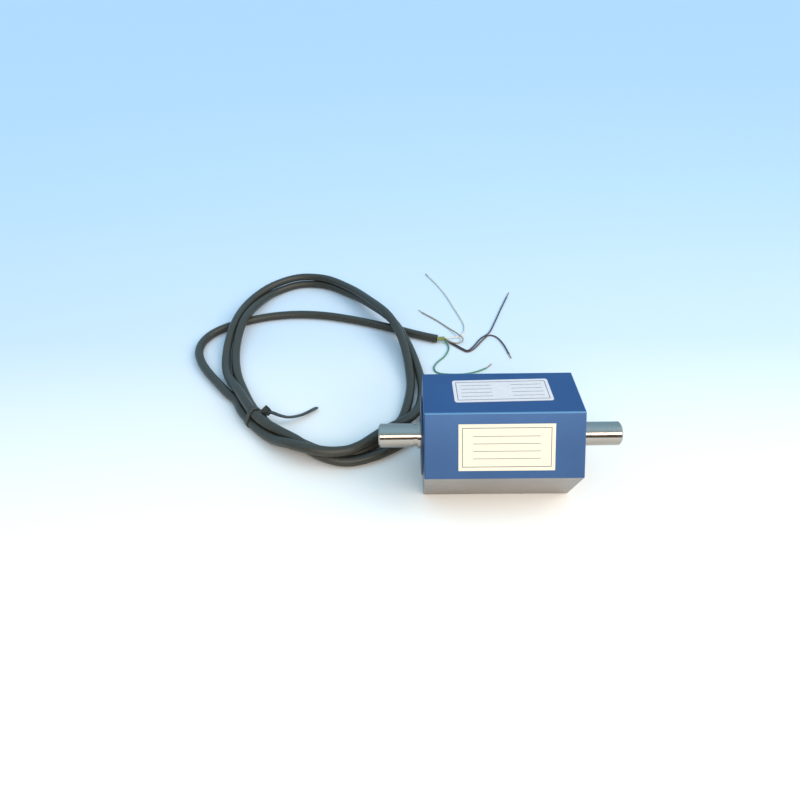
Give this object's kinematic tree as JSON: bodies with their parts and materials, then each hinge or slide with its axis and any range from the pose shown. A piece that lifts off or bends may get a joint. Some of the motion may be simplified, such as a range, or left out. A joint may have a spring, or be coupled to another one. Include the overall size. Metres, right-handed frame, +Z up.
{
  "type": "rotary torque sensor",
  "caption": "Rotary torque sensor: hexagonal two-part block with a through shaft on ball bearings, and a signal cable wound in an oval coil, held by a tie and stripped at its end.",
  "frame": {"origin": "centre of the block's base face", "axes": "+X along the shaft towards its longer free end, +Z up from the base, -Y towards the face with the sticker"},
  "size_m": [0.3802, 0.4042, 0.0802],
  "materials": {
    "blue_anodised": "satin",
    "natural_aluminium": "satin",
    "navy_anodised": "satin",
    "ground_steel": "polished",
    "screw_steel": "satin",
    "bearing_steel": "polished",
    "cage_brass": "satin",
    "nickel_brass": "satin",
    "ferrite": "matte",
    "copper": "satin",
    "circuit_board": "gloss",
    "component_black": "matte",
    "gauge_film": "gloss",
    "seal_rubber": "matte",
    "silver_label": "satin",
    "white_paper": "matte",
    "cable_jacket": "satin",
    "tie_nylon": "satin",
    "sheath_green": "satin",
    "core_white": "satin",
    "core_tan": "satin",
    "core_green": "satin",
    "core_black": "satin",
    "core_brown": "satin"
  },
  "bodies": {
    "housing": {"upper_housing": "blue_anodised", "lower_housing": "natural_aluminium", "dowel_pins": "ground_steel", "left_end_flange": "navy_anodised", "right_end_flange": "navy_anodised", "left_flange_screws": "screw_steel", "right_flange_screws": "screw_steel", "left_outer_ring": "bearing_steel", "right_outer_ring": "bearing_steel", "preload_spring": "screw_steel", "stator_core": "ferrite", "stator_winding": "copper", "amplifier_board": "circuit_board", "amplifier_parts": "component_black", "board_screws": "screw_steel", "gland_body": "nickel_brass", "gland_seal": "seal_rubber", "gland_nut": "nickel_brass", "type_label": "silver_label", "front_sticker": "white_paper", "cable_lead": "cable_jacket", "cable_coil": "cable_jacket", "cable_tail": "cable_jacket", "cable_tie": "tie_nylon", "inner_sheath": "sheath_green", "core_white": "core_white", "core_tan": "core_tan", "core_green": "core_green", "core_black": "core_black", "core_brown": "core_brown"},
    "shaft": {"measuring_shaft": "ground_steel", "left_inner_ring": "bearing_steel", "right_inner_ring": "bearing_steel", "left_retaining_ring": "screw_steel", "right_retaining_ring": "screw_steel", "strain_gauges": "gauge_film", "rotor_core": "ferrite", "rotor_winding": "copper", "rotor_board": "circuit_board", "rotor_chips": "component_black"},
    "left_ball_set": {"left_cage": "cage_brass", "left_balls": "bearing_steel"},
    "right_ball_set": {"right_cage": "cage_brass", "right_balls": "bearing_steel"}
  },
  "joints": [
    {"name": "shaft_spin", "type": "hinge", "parent": "housing", "child": "shaft", "pos_m": [0, 0, 0.04], "axis": [1, 0, 0], "continuous": true},
    {"name": "left_ball_set_spin", "type": "hinge", "parent": "housing", "child": "left_ball_set", "pos_m": [0, 0, 0.04], "axis": [1, 0, 0], "continuous": true},
    {"name": "right_ball_set_spin", "type": "hinge", "parent": "housing", "child": "right_ball_set", "pos_m": [0, 0, 0.04], "axis": [1, 0, 0], "continuous": true}
  ],
  "couplings": [
    {"joint": "left_ball_set_spin", "follows": "shaft_spin", "ratio": 0.3976},
    {"joint": "right_ball_set_spin", "follows": "shaft_spin", "ratio": 0.3976}
  ]
}
